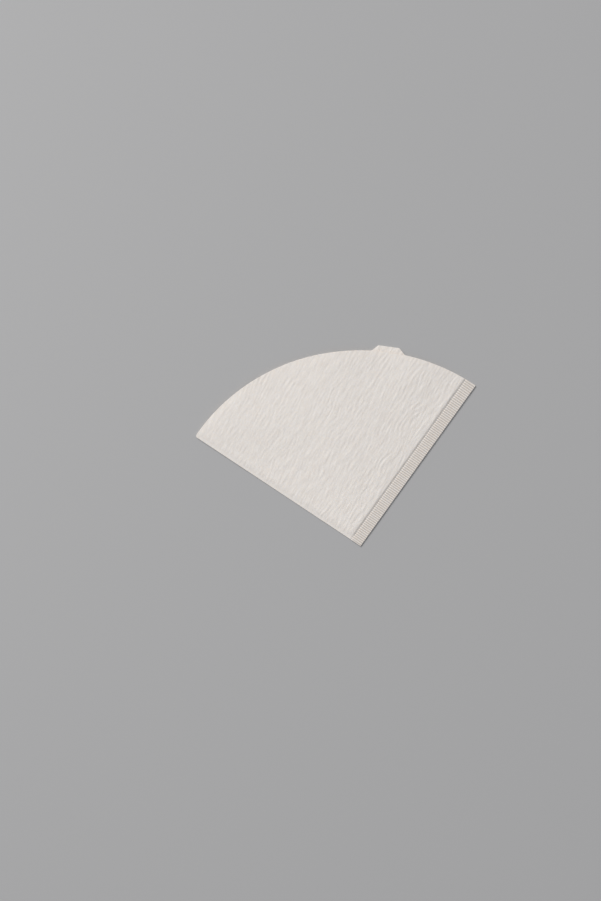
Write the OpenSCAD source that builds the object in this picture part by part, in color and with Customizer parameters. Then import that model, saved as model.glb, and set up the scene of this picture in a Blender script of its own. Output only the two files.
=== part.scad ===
// Cone coffee filter of white crepe paper, folded flat.
// One half-round sheet is folded in two along one straight side and crimped
// together along the other, so that a pocket opens at the round mouth.
// It lies flat: back ply on the ground, tip towards -Y, mouth towards +Y,
// fold on the -X side and crimped seam on the +X side.

/* [Sheet] */
// Straight side of the folded filter, from the tip to the mouth
side_len = 140; // [100:1:160]
// Angle at the tip, between the fold and the seam
tip_angle = 90; // [70:1:100]
// Thickness of one ply of paper
paper_t = 0.25; // [0.15:0.01:0.4]
// Radius of the mouth corner at the fold
corner_r = 2; // [0.5:0.1:5]

/* [Pocket] */
// Height of the open pocket at the middle of the mouth
pocket_gap = 3; // [1:0.1:3.9]
// Width of the strip beside the fold where the plies stay pressed together
crease_w = 0.8; // [0.6:0.1:2]

/* [Crimped seam] */
// Width of the crimped band
seam_w = 8; // [5:0.1:12]
// Distance from one crimp rib to the next
rib_pitch = 1.6; // [1.2:0.1:3]
// Height of a crimp rib
rib_depth = 0.2; // [0.1:0.01:0.24]

/* [Tab] */
// Place of the tab on the mouth, as an angle from the fold
tab_angle = 63.5; // [25:0.5:70]
// Width of the tab at its top
tab_w = 14.5; // [8:0.5:24]
// How far the tab stands out from the mouth
tab_h = 3.8; // [2:0.1:8]
// Slope of the tab's two flanks
tab_slope = 45; // [30:1:80]
// Radius of the tab's two top corners
tab_round = 1.6; // [0.3:0.1:2]

/* [Hidden] */
$fn = 180;

half_angle = tip_angle / 2;
folded_t = 2 * paper_t;
// How far the loose plies run into the pressed strips that hold them
lap = 0.3;
// How deep the front ply starts within the pressed strips, so that it joins them
bite = 0.02;
// Room past the sheet for the shapes that trim it
spare = 2;

// Corner of the pocket, within the crease and the crimp, measured from the tip along the seam and across it
pocket_corner = [(crease_w - lap / 2 + (seam_w - lap / 2) * cos(tip_angle)) / sin(tip_angle), seam_w - lap / 2];
pocket_x = pocket_corner.x * sin(half_angle) - pocket_corner.y * cos(half_angle);
pocket_y = pocket_corner.x * cos(half_angle) + pocket_corner.y * sin(half_angle);

// The front ply bows up as a slice of a very flat cone whose point is the corner of the pocket
pocket_len = sqrt(side_len ^ 2 - pocket_x ^ 2) - pocket_y;
rise = atan(pocket_gap / pocket_len);
cone_dip = atan((cos(rise) - cos(half_angle)) / sin(rise));
cone_spread = acos(cos(half_angle) * cos(cone_dip));
cone_h = (side_len + spare) * cos(cone_spread);

// Centre of the rounded mouth corner, measured from the tip along the fold and outwards from it
corner_tilt = asin(corner_r / (side_len - corner_r));
corner_centre = (side_len - corner_r) * [cos(corner_tilt), -sin(corner_tilt)];
// How far the sheet reaches to either side of the tip
reach_fold = (side_len - corner_r) * sin(half_angle - corner_tilt) + corner_r;
reach_seam = side_len * sin(half_angle);

// A rib has a flat crest, a flank, a flat trough and a flank, all of one length
rib_steps = 4;
function rib_height(step) = (1 - cos(360 / rib_steps * (step + 0.5)) / cos(180 / rib_steps)) / 2;

function arc(centre, radius, from, to, steps) =
    [for (i = [0:steps]) let (a = from + (to - from) * i / steps) centre + radius * [cos(a), sin(a)]];

module toward_seam() {
    rotate(90 - half_angle) children();
}

module toward_fold() {
    rotate(90 + half_angle) children();
}

// Part of the folded sheet between two lines, one beside each straight side, trimmed by the round mouth
module sector(seam_inset, fold_inset) {
    far = 2 * side_len;
    intersection() {
        circle(side_len);
        toward_seam() polygon([
            [(fold_inset + seam_inset * cos(tip_angle)) / sin(tip_angle), seam_inset],
            [far, seam_inset],
            [far, far],
            [(fold_inset + far * cos(tip_angle)) / sin(tip_angle), far]
        ]);
    }
}

// Waste outside the rounded mouth corner at the fold, measured as the corner's centre is
module corner_waste() {
    steps = 5;
    half_step = (90 + corner_tilt) / steps / 2;
    toward_fold() polygon(concat(
        arc(corner_centre, corner_r / cos(half_step), 90, -corner_tilt, steps),
        [[side_len + spare, corner_centre.y], [side_len + spare, spare], [corner_centre.x, spare]]
    ));
}

// Finger tab that the die leaves standing on the mouth of the back ply
module tab() {
    top = side_len + tab_h;
    foot = side_len - tab_h;
    foot_x = tab_w / 2 + 2 * tab_h / tan(tab_slope);
    round_x = tab_w / 2 - tab_round * tan(tab_slope / 2);
    rotate(half_angle - tab_angle) polygon(concat(
        [[-foot_x, foot], [foot_x, foot]],
        arc([round_x, top - tab_round], tab_round, 90 - tab_slope, 90, 4),
        arc([-round_x, top - tab_round], tab_round, 90, 90 + tab_slope, 4)
    ));
}

// Back ply, flat on the ground
module back_ply() {
    linear_extrude(paper_t) {
        sector(seam_w - lap, crease_w - lap);
        tab();
    }
}

// Front ply, which springs up from the crease and from the crimp
module front_ply() {
    module bow(height) {
        translate([pocket_x, pocket_y, height]) rotate([-90 - cone_dip, 0, 0])
            cylinder(h = cone_h, r1 = 0, r2 = cone_h * tan(cone_spread));
    }
    intersection() {
        linear_extrude(folded_t + pocket_gap + spare) sector(seam_w - lap, crease_w - lap);
        difference() {
            bow(folded_t - bite);
            bow(paper_t - bite);
        }
    }
}

// Folded side: the sheet turns round in a tight half circle and stays pressed together beside it
module fold() {
    intersection() {
        linear_extrude(folded_t) sector(0, -spare);
        toward_fold() rotate([90, 0, 90]) translate([0, 0, -spare]) linear_extrude(side_len + 2 * spare) {
            translate([-paper_t, paper_t]) circle(paper_t, $fn = 12);
            translate([-crease_w, 0]) square([crease_w - paper_t, folded_t]);
        }
    }
}

// Crimped seam: both plies pressed together into fine ribs that run across the band
module crimped_seam() {
    steps = rib_steps * ceil(side_len / rib_pitch + 1);
    under = [for (i = [0:steps]) [i * rib_pitch / rib_steps, rib_depth * rib_height(i)]];
    over = [for (i = [steps:-1:0]) under[i] + [0, folded_t]];
    intersection() {
        linear_extrude(folded_t + rib_depth) sector(0, paper_t / 2);
        toward_seam() translate([0, seam_w, 0]) rotate([90, 0, 0])
            linear_extrude(seam_w) polygon(concat(under, over));
    }
}

// The whole sheet, folded, crimped and cut, with the middle of its length and width over the origin
module filter_paper() {
    color([0.89, 0.86, 0.82]) translate([(reach_fold - reach_seam) / 2, -side_len / 2, 0]) {
        difference() {
            union() {
                back_ply();
                front_ply();
                fold();
            }
            translate([0, 0, -spare]) linear_extrude(folded_t + 2 * spare) corner_waste();
        }
        crimped_seam();
    }
}

filter_paper();
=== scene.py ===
# A cone coffee filter of white crepe paper, folded flat and lying on its back ply.
import math

import bpy
import numpy as np
from mathutils import Matrix, Vector, kdtree, noise
from mathutils.geometry import delaunay_2d_cdt


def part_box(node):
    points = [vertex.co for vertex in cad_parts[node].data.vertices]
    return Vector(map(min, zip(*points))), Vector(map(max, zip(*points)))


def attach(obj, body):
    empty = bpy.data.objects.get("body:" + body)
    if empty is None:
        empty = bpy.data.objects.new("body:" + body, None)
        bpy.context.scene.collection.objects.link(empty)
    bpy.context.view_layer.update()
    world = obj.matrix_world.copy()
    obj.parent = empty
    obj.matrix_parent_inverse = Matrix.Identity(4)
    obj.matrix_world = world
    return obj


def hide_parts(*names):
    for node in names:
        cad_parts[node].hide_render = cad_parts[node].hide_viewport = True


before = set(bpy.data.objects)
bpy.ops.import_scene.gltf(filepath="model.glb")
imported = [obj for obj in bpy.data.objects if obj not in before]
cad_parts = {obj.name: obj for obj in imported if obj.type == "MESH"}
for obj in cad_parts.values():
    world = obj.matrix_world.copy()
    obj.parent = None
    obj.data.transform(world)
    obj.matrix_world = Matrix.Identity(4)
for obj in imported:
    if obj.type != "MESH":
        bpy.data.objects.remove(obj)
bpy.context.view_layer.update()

# Folded sheet
# One half-round of white crepe paper, folded in two along one straight side. Its plies are crimped together
# along the other side without glue, and the die leaves a finger tab on the mouth of the back ply.
# Sizes are in millimetres, and a place on a ply is (along the seam, in from the seam) from the tip.
MM = 0.001
low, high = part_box("filter_paper")
side = (high[1] - low[1]) / MM
ply = 0.25
seam_w = 8.0
rib_pitch = 1.6
rib_depth = 0.26
rib_squareness = 1.4
points_per_rib = 6
crimp_fade = 0.7
border_w = 0.4
border_depth = 0.11
crease_w = 0.8
fold_rows = 6
corner_r = 2.0
pocket_gap = 2.6
pocket_tip = 0.15
shoulder = 0.42
mouth_sway = 0.28
ground_lift = 0.15
tab_angle = 26.5
tab_w = 14.5
tab_h = 3.8
tab_slope = 45.0
tab_round = 1.6
foot_round = 3.0
ridge_pitch = 2.3
ridge_height = 0.065
ridge_lean = math.radians(6)
mouth_points_per_degree = 4
edge_clearance = 0.33


def arc(centre, radius, start, end, steps):
    """Points along an arc between two angles in degrees."""
    angles = np.radians(np.linspace(start, end, steps + 1))
    return np.column_stack([centre[0] + radius * np.cos(angles), centre[1] + radius * np.sin(angles)])


def tab_outline():
    """The tab's cut edge, from its foot on the seam side to its foot on the fold side."""
    slope = math.radians(tab_slope)
    centre = (tab_w / 2 - tab_round * math.tan(slope / 2), side + tab_h - tab_round)
    bend = arc(centre, tab_round, 90 - tab_slope, 90, 5)
    down = np.array([math.cos(slope), -math.sin(slope)])
    start = bend[0] + foot_round * np.array([math.sin(slope), math.cos(slope)])
    reach = start @ down
    slide = -reach - math.sqrt(reach**2 - start @ start + (side + foot_round) ** 2)
    foot_centre = start + slide * down
    foot_start = math.degrees(math.atan2(-foot_centre[1], -foot_centre[0])) + 360
    foot = arc(foot_centre, foot_round, foot_start, 270 - tab_slope, 6)
    flank = np.vstack([foot, np.linspace(foot[-1], bend[0], 7)[1:-1], bend])
    across = flank[::-1] * (-1, 1)
    cut = np.vstack([flank, np.linspace(flank[-1], across[0], 27)[1:-1], across])
    lean = math.radians(tab_angle)
    outward = np.array([math.cos(lean), math.sin(lean)])
    seamward = np.array([math.sin(lean), -math.cos(lean)])
    return cut[:, :1] * seamward + cut[:, 1:] * outward


def ply_outline(feet):
    """The edge of a ply, from the tip along the seam, round the mouth and back. Also the crease's end."""
    centre = (corner_r, math.sqrt((side - corner_r) ** 2 - corner_r**2))
    bend_start = math.degrees(math.atan2(centre[1], centre[0]))
    bend_crease = math.degrees(math.acos((crease_w - corner_r) / corner_r))
    bend_end = math.degrees(math.acos((ply - corner_r) / corner_r))
    stops = [0, math.degrees(math.asin(seam_w / side)), *feet, bend_start]
    mouth = []
    for a, b in zip(stops, stops[1:]):
        steps = max(4, round((b - a) * mouth_points_per_degree))
        mouth.append(arc((0, 0), side, a, b, steps)[:-1])
    corner = arc(centre, corner_r, bend_start, bend_crease, 5)[:-1]
    crease_end = arc(centre, corner_r, bend_crease, bend_end, 3)
    seam = np.array([(s, 0) for s in np.arange(ply, side - 0.1, rib_pitch / points_per_rib)])
    fold = np.array([(ply, w) for w in np.linspace(crease_end[-1][1], 0, 280)[1:-1]])
    return np.vstack([seam, *mouth, corner, crease_end, fold]), crease_end[0]


def staggered(length, along, across, lean=0.0):
    """Staggered rows of points over a whole quarter round, turned by an angle."""
    columns = np.arange(-along, 1.5 * length, along)
    rows = np.arange(-0.5 * length, 1.5 * length, across)
    a, b = np.meshgrid(columns, rows)
    a = a + (np.arange(len(a)) % 2 * along / 2)[:, None]
    turned = a * math.cos(lean) - b * math.sin(lean), a * math.sin(lean) + b * math.cos(lean)
    return np.column_stack([t.ravel() for t in turned])


def inside(points, loop):
    """Which points lie within a closed outline."""
    hit = np.zeros(len(points), bool)
    x, y = points.T
    for (x1, y1), (x2, y2) in zip(loop, np.roll(loop, -1, axis=0)):
        if y1 != y2:
            hit ^= ((y1 > y) != (y2 > y)) & (x < (x2 - x1) * (y - y1) / (y2 - y1) + x1)
    return hit


def clear_of(points, lines, gap):
    """The points that keep a distance from every line."""
    tree = kdtree.KDTree(sum(len(line) for line in lines))
    for k, p in enumerate(np.vstack(lines)):
        tree.insert((*p, 0), k)
    tree.balance()
    return points[[tree.find((*p, 0))[2] > gap for p in points]]


tab = tab_outline()
feet = [math.degrees(math.atan2(p[1], p[0])) for p in (tab[0], tab[-1])]
outline, crease_end = ply_outline(feet)
under_tab = arc((0, 0), side, *feet, round((feet[1] - feet[0]) * mouth_points_per_degree))
tab_loop = np.vstack([tab, under_tab[::-1]])
band_end = math.sqrt(side**2 - seam_w**2)
ribs = np.arange(ply, side, rib_pitch / points_per_rib)
inner_ribs = ribs[(ribs > crease_w + 0.1) & (ribs < band_end - 0.1)]
band_line = np.array([(crease_w, seam_w), *((s, seam_w) for s in inner_ribs), (band_end, seam_w)])
crease_line = np.linspace((crease_w, seam_w), crease_end, 260)
cuts_and_creases = [outline[[*range(len(outline)), 0]], tab, band_line, crease_line]


def filled(between):
    """Triangles over the ply and the tab that keep to the cuts and creases, and which of the two each is on."""
    points = [tuple(p) for line in cuts_and_creases for p in line]
    starts = np.cumsum([0] + [len(line) for line in cuts_and_creases])
    edges = [(k, k + 1) for a, b in zip(starts, starts[1:]) for k in range(a, b - 1)]
    points += [tuple(p) for p in between]
    places, _, triangles, *_ = delaunay_2d_cdt([Vector(p) for p in points], edges, [], 0, 1e-4)
    places, triangles = np.array([tuple(p) for p in places]), np.array(triangles)
    middle = places[triangles].mean(axis=1)
    on_ply = inside(middle, outline)
    on_tab = ~on_ply & inside(middle, tab_loop)
    return places, triangles, on_ply, on_tab


def smooth(x):
    """A soft step from 0 to 1."""
    x = np.clip(x, 0, 1)
    return x * x * (3 - 2 * x)


def wander(x, y, size_x, size_y, seed):
    """Random change over the sheet, from about -1 to 1, in patches of about the size given."""
    return np.array([2 * noise.noise((a / size_x, b / size_y, seed)) for a, b in zip(x, y)])


def crepe(x, y):
    """Height of the uneven ridges that creping leaves. They run nearly along the seam, strongest beside it."""
    along = x * math.cos(ridge_lean) + y * math.sin(ridge_lean)
    across = y * math.cos(ridge_lean) - x * math.sin(ridge_lean)
    swerve = 1.8 * wander(along, across, 17, 13, 1.7) + 0.5 * wander(along, across, 7, 3.5, 8.7)
    rise_and_fade = 0.7 + 0.5 * wander(along, across, 10, 5, 14.7)
    ridges = rise_and_fade * np.cos(2 * math.pi * (across + swerve) / ridge_pitch)
    short_furrows = wander(along, across, 7, 1.3, 22.7)
    strength = 1.1 - 0.4 * smooth(y / 110)
    return ridge_height * strength * (0.75 * ridges + 0.9 * short_furrows)


def heights(places):
    """Heights of the sheet's four sides before the ridges, from the lowest up. Also how loose, and how much the
    paper is darkened: for its density where pressed, and as painted shade in the crimp's troughs and along its
    border line.
    """
    s, w = places.T
    from_tip = np.hypot(s, w) / side
    free = np.minimum(s - crease_w, w - seam_w)

    # the crimp, and the line pressed along its inner border, which runs deeper between the ribs
    pressed = 1 - smooth((w - seam_w + 0.5) / crimp_fade)
    wave = np.tanh(rib_squareness * np.cos(2 * math.pi * s / rib_pitch)) / math.tanh(rib_squareness)
    crimp = rib_depth * pressed * (0.5 + 0.5 * wave)
    border_line = np.exp(-(((w - seam_w - 0.1) / border_w) ** 2)) * (s > crease_w)
    groove = (border_depth - 0.06 * wave) * border_line
    # darkening of the paper: denser where pressed, and painted shade in the troughs between the ribs and along
    # the border line
    dense_and_shaded = np.maximum(pressed * (0.6 - 0.4 * wave), 0.8 * border_line)

    # the back ply rises a little from the ground towards the mouth, and the front ply springs away from it
    uneven = np.clip(ground_lift * (1 + 2 * wander(s, w, 55, 55, 3.3)), 0, 1)
    lift = uneven * smooth((from_tip - 0.45) / 0.55)
    x = np.maximum(s - crease_w + pocket_tip, 0)
    y = np.maximum(w - seam_w + pocket_tip, 0)
    diagonal = math.sqrt(0.5)
    bow = pocket_gap / side * (diagonal * (x + y) - diagonal * np.hypot(x, y)) / (1 - diagonal)
    bow = np.hypot(bow, shoulder * smooth((w - seam_w) / 1.4) * smooth((s - crease_w) / 5))
    sway = mouth_sway * from_tip**1.5 * smooth(free / 14) * wander(s, w, 42, 42, 9.1)

    # the ridges are flatter beside the fold and the crimp, and the sheet keeps room for them above the ground
    loose = (0.25 + 0.75 * smooth(free / 3)) * (1 - pressed)
    under = lift + crimp + loose * 1.6 * ridge_height
    lower = under + ply
    upper = np.maximum(lower + 0.02 * smooth(free), lower + bow + sway)
    return under, lower, upper, upper + ply - groove, loose, dense_and_shaded


def border(triangles):
    """Edges on the border of a set of triangles, each with the set on its left, in a steady order."""
    edges = np.vstack([triangles[:, [0, 1]], triangles[:, [1, 2]], triangles[:, [2, 0]]])
    seen = {tuple(e) for e in edges.tolist()}
    return sorted(e for e in seen if (e[1], e[0]) not in seen)


def folded_sheet():
    """Points in millimetres, faces, their corners' places on the unfolded sheet, and how much the paper is
    darkened: denser where pressed, plus painted shade in the crimp's troughs and along its border line.
    """
    band_rows = (0.7, 1.8, 3.2, 4.6, 6.0, 7.0, 7.6)
    rib_grid = np.array([(s, w) for s in ribs[1:] for w in band_rows])
    face = staggered(side, along=1.0, across=0.42, lean=ridge_lean)
    face = face[(face[:, 0] > crease_w + 0.3) & (face[:, 1] > seam_w + 0.25)]
    rib_grid, face = (p[np.hypot(*p.T) < side - 0.3] for p in (rib_grid, face))
    lining = staggered(side, along=2.2, across=1.9)
    lining = lining[(lining[:, 0] > 2) & (lining[:, 1] > seam_w + 1) & (np.hypot(*lining.T) < side - 1)]
    finger = staggered(side * 1.05, along=0.6, across=0.42, lean=ridge_lean)
    finger = finger[inside(finger, tab_loop)]
    fine = clear_of(np.vstack([rib_grid, face, finger]), [outline, tab], edge_clearance)
    coarse = clear_of(np.vstack([lining, finger]), [outline, tab], edge_clearance)

    # outer sides, with the ridges in full
    places, triangles, on_ply, on_tab = filled(fine)
    s, w = places.T
    under_z, _, _, top_z, loose, dense_and_shaded = heights(places)
    under_z = np.maximum(under_z + loose * crepe(-s, w), 0)
    top_z = top_z + loose * crepe(s, w)
    points = [np.column_stack([places, under_z]), np.column_stack([places, top_z])]
    under, top = np.arange(len(places)), len(places) + np.arange(len(places))

    # inner sides, which are one where the plies are pressed together, and have ridges at the rim alone
    inner, inner_triangles, inner_ply, inner_tab = filled(coarse)
    middle = inner[inner_triangles].mean(axis=1)
    pocket = inner_ply & (middle[:, 0] > crease_w) & (middle[:, 1] > seam_w)
    s, w = inner.T
    _, lower_z, upper_z, _, loose, _ = heights(inner)
    rim = smooth((np.hypot(s, w) - side + 2.5) / 2.5) * loose
    parting = 0.06 * (w < 1e-6)
    points.append(np.column_stack([s, w + parting, lower_z + rim * crepe(-s, w)]))
    points.append(np.column_stack([s, w, upper_z + rim * crepe(s, w)]))
    lower = 2 * len(places) + np.arange(len(inner))
    open_pocket = np.zeros(len(inner), bool)
    open_pocket[inner_triangles[pocket].ravel()] = True
    on_strip = (s < crease_w + 0.01) | (w < seam_w + 0.01)
    open_pocket[[v for v in np.unique(border(inner_triangles[pocket])) if on_strip[v]]] = False
    upper = np.where(open_pocket, lower + len(inner), lower)
    pocket = pocket & open_pocket[inner_triangles].any(axis=1)

    faces = []
    sheet_places = []

    def add(face, flat):
        """One face, with its corners' places on the unfolded sheet."""
        faces.append([int(v) for v in face])
        sheet_places.extend(flat)

    for layer, which, mesh_places, mesh_triangles, sign, turned in (
        (top, on_ply, places, triangles, 1, 1),
        (upper, pocket, inner, inner_triangles, 1, -1),
        (lower, pocket | inner_tab, inner, inner_triangles, -1, 1),
        (under, on_ply | on_tab, places, triangles, -1, -1),
    ):
        for triangle in mesh_triangles[which][:, ::turned]:
            add(layer[triangle], [(sign * mesh_places[v, 0], mesh_places[v, 1]) for v in triangle])

    # cut edges round the mouth, the tab and the seam
    within = {tuple(p): k for k, p in enumerate(np.round(inner, 3))}
    twin = [within.get(tuple(p)) for p in np.round(places, 3)]
    on_fold = places[:, 0] < ply + 0.001
    fold_edges = [(a, b) for a, b in border(triangles[on_ply]) if on_fold[a] and on_fold[b]]
    for a, b in border(triangles[on_ply]):
        if (a, b) not in fold_edges:
            inner_a, inner_b = upper[[twin[a], twin[b]]]
            flat = [(places[v, 0], places[v, 1]) for v in (a, b, b, a)]
            add([inner_a, inner_b, top[b], top[a]], flat)
    for a, b in border(triangles[on_ply | on_tab]):
        if (a, b) not in fold_edges:
            inner_a, inner_b = lower[[twin[a], twin[b]]]
            flat = [(-places[v, 0], places[v, 1]) for v in (a, b, b, a)]
            add([under[a], under[b], inner_b, inner_a], flat)

    # the round back of the fold, which the rounded corner cuts off at the mouth
    total = sum(len(p) for p in points)
    rows = {}
    turn = np.radians(np.linspace(-90, 90, fold_rows + 1))
    round_s = ply - ply * np.cos(turn)
    corner_reach = np.sqrt(corner_r**2 - (corner_r - round_s) ** 2)
    cut_off = math.sqrt(corner_r**2 - (corner_r - ply) ** 2) - corner_reach
    fold_end = max(places[a, 1] for a, _ in fold_edges)
    for a in sorted({v for e in fold_edges for v in e}):
        mid_z, half_z = (top_z[a] + under_z[a]) / 2, (top_z[a] - under_z[a]) / 2
        round_w = places[a, 1] - cut_off * np.clip(1 + (places[a, 1] - fold_end) / 4, 0, 1)
        points.append(np.column_stack([round_s, round_w, mid_z + half_z * np.sin(turn)])[1:-1])
        rows[a] = [under[a], *range(total, total + fold_rows - 1), top[a]]
        total += fold_rows - 1
    flat = ply * np.linspace(-1, 1, fold_rows + 1)
    for a, b in fold_edges:
        for k in range(fold_rows):
            corners = ((a, k), (b, k), (b, k + 1), (a, k + 1))
            add([rows[v][n] for v, n in corners], [(flat[n], places[v, 1]) for v, n in corners])
    first = (set(a for a, _ in fold_edges) - set(b for _, b in fold_edges)).pop()
    last = (set(b for _, b in fold_edges) - set(a for a, _ in fold_edges)).pop()
    for a, step in ((first, 1), (last, -1)):
        add([*rows[a], lower[twin[a]]][::step], [(u, places[a, 1]) for u in [*flat, 0]][::step])
    points = np.vstack(points)
    # darkening for the outer sides: denser pressed paper, and painted shade in the crimp's troughs and along
    # its border line
    dense_and_shaded_points = np.zeros(len(points))
    dense_and_shaded_points[: 2 * len(places)] = np.tile(dense_and_shaded, 2)
    return points, faces, sheet_places, dense_and_shaded_points


def on_ground(points):
    """From the ply's own frame in millimetres to the ground in metres."""
    turn = math.radians(45)
    seam = np.array([math.sin(turn), math.cos(turn)])
    inward = np.array([-math.cos(turn), math.sin(turn)])
    tip = np.array([high[0] - side * MM * math.sin(turn), low[1]])
    return np.column_stack([tip + MM * (points[:, :1] * seam + points[:, 1:2] * inward), MM * points[:, 2]])


points, faces, sheet_places, dense_and_shaded_points = folded_sheet()
used, renumbered = np.unique(np.concatenate(faces), return_inverse=True)
splits = np.cumsum([len(f) for f in faces])[:-1]
mesh = bpy.data.meshes.new("folded_filter")
mesh.from_pydata(on_ground(points[used]).tolist(), [], [f.tolist() for f in np.split(renumbered, splits)])
unfolded = mesh.uv_layers.new(name="unfolded_sheet")
unfolded.uv.foreach_set("vector", (MM * np.array(sheet_places)).astype(np.float32).ravel())
# the pressed attribute carries that darkening: denser paper, and painted shade in the crimp's troughs and along
# its border line
mesh.attributes.new("pressed", "FLOAT", "POINT").data.foreach_set("value", dense_and_shaded_points[used].astype(np.float32))
mesh.shade_smooth()
mesh.set_sharp_from_angle(angle=math.radians(60))
sheet = bpy.data.objects.new("folded_filter", mesh)
bpy.context.collection.objects.link(sheet)


def crepe_paper():
    """Bleached crepe paper: warm white and matt, with clouds, fibres, wrinkles along the ridges and a tooth. It
    is darker in the crimp, partly from the denser paper and partly from painted shade in the troughs and along
    the border line.
    """
    paper = bpy.data.materials.new("crepe_paper")
    paper.use_nodes = True
    nodes, links = paper.node_tree.nodes, paper.node_tree.links
    shader = nodes["Principled BSDF"]
    shader.inputs["Roughness"].default_value = 0.92
    shader.inputs["Specular IOR Level"].default_value = 0.25
    shader.inputs["Subsurface Weight"].default_value = 0.12
    shader.inputs["Subsurface Radius"].default_value = (0.0012, 0.001, 0.0008)
    shader.inputs["Subsurface Scale"].default_value = 1.0

    flat = nodes.new("ShaderNodeUVMap")
    flat.uv_map = "unfolded_sheet"
    stretched = nodes.new("ShaderNodeMapping")
    stretched.vector_type = "TEXTURE"
    stretched.inputs["Rotation"].default_value = (0, 0, ridge_lean)
    stretched.inputs["Scale"].default_value = (4, 1, 1)
    links.new(flat.outputs["UV"], stretched.inputs["Vector"])

    def cloud(vector, size, detail, roughness):
        """Soft random patches of a size in millimetres."""
        texture = nodes.new("ShaderNodeTexNoise")
        texture.inputs["Scale"].default_value = 1 / (size * MM)
        texture.inputs["Detail"].default_value = detail
        texture.inputs["Roughness"].default_value = roughness
        links.new(vector, texture.inputs["Vector"])
        return texture.outputs["Fac"]

    def ramp(value, stops):
        """A colour that passes between two stops."""
        band = nodes.new("ShaderNodeValToRGB")
        for stop, (position, colour) in zip(band.color_ramp.elements, stops):
            stop.position = position
            stop.color = (*colour, 1)
        links.new(value, band.inputs["Fac"])
        return band.outputs["Color"]

    patches = cloud(flat.outputs["UV"], size=7, detail=4, roughness=0.55)
    clouds = ramp(patches, [(0.3, (0.78, 0.727, 0.682)), (0.7, (0.81, 0.763, 0.722))])
    streaks = cloud(stretched.outputs["Vector"], size=0.7, detail=3, roughness=0.65)
    fibres = ramp(streaks, [(0.32, (0.955, 0.95, 0.945)), (0.6, (1, 1, 1))])
    blend = nodes.new("ShaderNodeMix")
    blend.data_type = "RGBA"
    blend.blend_type = "MULTIPLY"
    blend.inputs["Factor"].default_value = 1
    links.new(clouds, blend.inputs["A"])
    links.new(fibres, blend.inputs["B"])
    # The paper darkens by the pressed attribute: denser paper in the crimp, and painted shade in its rib
    # troughs and along its border line.
    pressed = nodes.new("ShaderNodeAttribute")
    pressed.attribute_name = "pressed"
    dense_and_shaded = nodes.new("ShaderNodeMix")
    dense_and_shaded.data_type = "RGBA"
    dense_and_shaded.blend_type = "MULTIPLY"
    dense_and_shaded.inputs["B"].default_value = (0.7, 0.688, 0.674, 1)
    links.new(pressed.outputs["Fac"], dense_and_shaded.inputs["Factor"])
    links.new(blend.outputs["Result"], dense_and_shaded.inputs["A"])
    links.new(dense_and_shaded.outputs["Result"], shader.inputs["Base Color"])

    wrinkles = cloud(stretched.outputs["Vector"], size=0.9, detail=2, roughness=0.55)
    tooth = cloud(flat.outputs["UV"], size=0.25, detail=2, roughness=0.6)
    normal = None
    for height, depth in ((wrinkles, 0.07), (tooth, 0.012)):
        bump = nodes.new("ShaderNodeBump")
        bump.inputs["Distance"].default_value = depth * MM
        bump.inputs["Strength"].default_value = 1
        links.new(height, bump.inputs["Height"])
        if normal:
            links.new(normal, bump.inputs["Normal"])
        normal = bump.outputs["Normal"]
    links.new(normal, shader.inputs["Normal"])
    return paper


mesh.materials.append(crepe_paper())
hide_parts("filter_paper")
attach(sheet, "root")

# Floor
# A plain pale card that the filter lies on. It runs out as far as any view shows, and far from the filter it
# passes softly into the grey of the backdrop.
backdrop_grey = (0.345, 0.345, 0.347, 1)
reach = 40.0
floor_mesh = bpy.data.meshes.new("floor")
corners = [(-reach, -reach, 0), (reach, -reach, 0), (reach, reach, 0), (-reach, reach, 0)]
floor_mesh.from_pydata(corners, [], [(0, 1, 2, 3)])
floor = bpy.data.objects.new("floor", floor_mesh)
bpy.context.collection.objects.link(floor)
card = bpy.data.materials.new("pale_card")
card.use_nodes = True
nodes, links = card.node_tree.nodes, card.node_tree.links
shader = nodes["Principled BSDF"]
shader.inputs["Base Color"].default_value = (0.4, 0.4, 0.405, 1)
shader.inputs["Roughness"].default_value = 0.95
shader.inputs["Specular IOR Level"].default_value = 0.1
place = nodes.new("ShaderNodeNewGeometry")
away = nodes.new("ShaderNodeVectorMath")
away.operation = "LENGTH"
links.new(place.outputs["Position"], away.inputs[0])
fade = nodes.new("ShaderNodeMapRange")
fade.interpolation_type = "SMOOTHSTEP"
fade.inputs["From Min"].default_value = 0.5
fade.inputs["From Max"].default_value = 2.0
links.new(away.outputs["Value"], fade.inputs["Value"])
far = nodes.new("ShaderNodeEmission")
far.inputs["Color"].default_value = backdrop_grey
passing = nodes.new("ShaderNodeMixShader")
links.new(fade.outputs["Result"], passing.inputs["Fac"])
links.new(shader.outputs["BSDF"], passing.inputs[1])
links.new(far.outputs["Emission"], passing.inputs[2])
links.new(passing.outputs["Shader"], nodes["Material Output"].inputs["Surface"])
floor_mesh.materials.append(card)

# Light
# Daylight from a wide window beyond the mouth and a little to the left, a softer lamp on the side of the
# fold, and a pale room all round. What looks at the room itself sees the backdrop.
world = bpy.data.worlds.new("pale_room")
bpy.context.scene.world = world
world.use_nodes = True
nodes, links = world.node_tree.nodes, world.node_tree.links
room = nodes["Background"]
room.inputs["Color"].default_value = (0.97, 0.98, 1.0, 1)
room.inputs["Strength"].default_value = 0.42
backdrop = nodes.new("ShaderNodeBackground")
backdrop.inputs["Color"].default_value = backdrop_grey
backdrop.inputs["Strength"].default_value = 1
rays = nodes.new("ShaderNodeLightPath")
seen = nodes.new("ShaderNodeMixShader")
looks = rays.outputs["Is Camera Ray"]
for kind in ("Is Glossy Ray", "Is Transmission Ray"):
    either = nodes.new("ShaderNodeMath")
    either.operation = "MAXIMUM"
    links.new(looks, either.inputs[0])
    links.new(rays.outputs[kind], either.inputs[1])
    looks = either.outputs["Value"]
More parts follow.
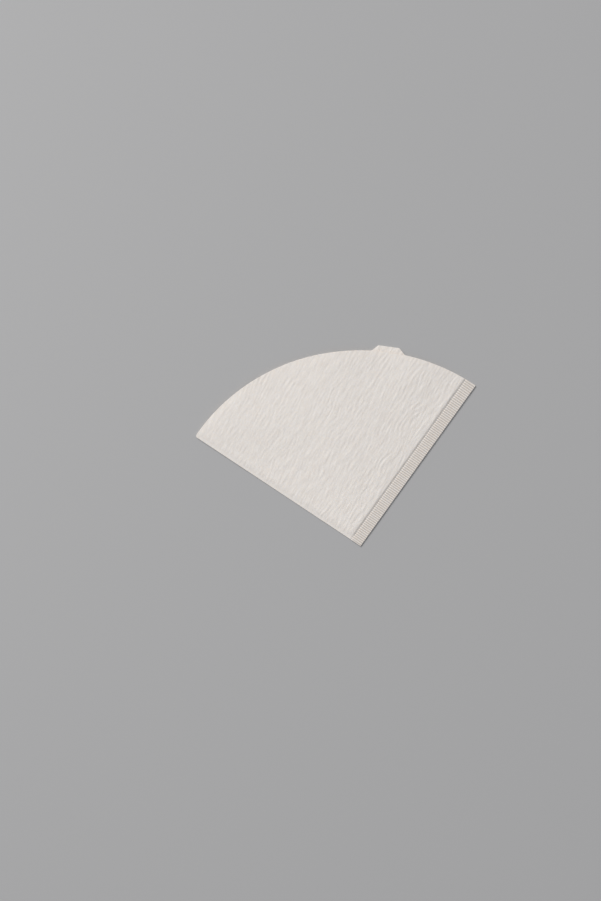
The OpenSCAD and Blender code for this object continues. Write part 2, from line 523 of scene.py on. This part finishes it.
links.new(looks, seen.inputs["Fac"])
links.new(room.outputs["Background"], seen.inputs[1])
links.new(backdrop.outputs["Background"], seen.inputs[2])
links.new(seen.outputs["Shader"], nodes["World Output"].inputs["Surface"])


def lamp(light, bearing, height, distance, power, colour):
    """A lamp turned to the filter. Its bearing is counted from +X, and its height above the floor."""
    away = Vector((math.cos(math.radians(height)), 0, math.sin(math.radians(height))))
    away.rotate(Matrix.Rotation(math.radians(bearing), 3, "Z"))
    light.energy = power
    light.color = colour
    holder = bpy.data.objects.new(light.name, light)
    holder.location = away * distance
    holder.rotation_euler = away.to_track_quat("Z", "Y").to_euler()
    bpy.context.collection.objects.link(holder)


daylight = bpy.data.lights.new("daylight", "SUN")
daylight.angle = math.radians(14)
lamp(daylight, bearing=106, height=25, distance=2.0, power=2.65, colour=(1.0, 0.99, 0.975))
side_lamp = bpy.data.lights.new("side_lamp", "AREA")
side_lamp.size = 0.8
lamp(side_lamp, bearing=135, height=30, distance=1.8, power=13.2, colour=(1.0, 0.99, 0.975))

# Camera
# It looks down on the filter, 14 degrees off square, from beyond the mouth and a little toward the seam. It is
# turned so that the fold lies on the left and the seam on the right.
bearing = math.radians(26.8)
tilt = math.radians(13.8)
roll = math.radians(11.5)
distance = 1.0
aim = Vector((-0.0287, 0.0057, 0))
sideways = Vector((math.sin(bearing), math.cos(bearing), 0))
toward_eye = sideways * math.sin(tilt) + Vector((0, 0, math.cos(tilt)))
plain_up = (Vector((0, 1, 0)) - toward_eye * toward_eye.y).normalized()
plain_right = plain_up.cross(toward_eye)
up = plain_up * math.cos(roll) + plain_right * math.sin(roll)
right = up.cross(toward_eye)
lens = bpy.data.cameras.new("camera")
lens.sensor_width = 36
lens.lens = 57.19
camera = bpy.data.objects.new("camera", lens)
axes = Matrix((right, up, toward_eye)).transposed().to_4x4()
camera.matrix_world = Matrix.Translation(aim + toward_eye * distance) @ axes
bpy.context.collection.objects.link(camera)
bpy.context.scene.camera = camera
bpy.context.scene.view_settings.view_transform = "Standard"
